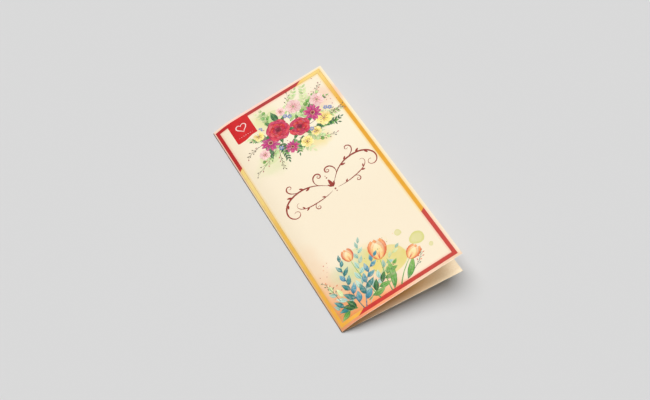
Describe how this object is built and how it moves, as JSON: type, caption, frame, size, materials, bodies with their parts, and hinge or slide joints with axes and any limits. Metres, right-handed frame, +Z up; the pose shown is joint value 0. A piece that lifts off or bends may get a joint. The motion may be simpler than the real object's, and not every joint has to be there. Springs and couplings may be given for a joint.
{
  "type": "greeting card",
  "caption": "Tall greeting card folded once from one sheet, lying on its back panel with the cover sprung ajar.",
  "frame": {"origin": "on the surface that the card lies on, under the middle of the back panel", "axes": "+Y along the fold, towards the top of the cover; +X from the fold to the free edges; +Z up"},
  "size_m": [0.105, 0.21, 0.0283],
  "materials": {
    "card_stock": "matt printed card, about 350 g per square metre, cream with a two-colour frame and flowers"
  },
  "bodies": {
    "root": {"folded_card": "card_stock"}
  },
  "joints": []
}
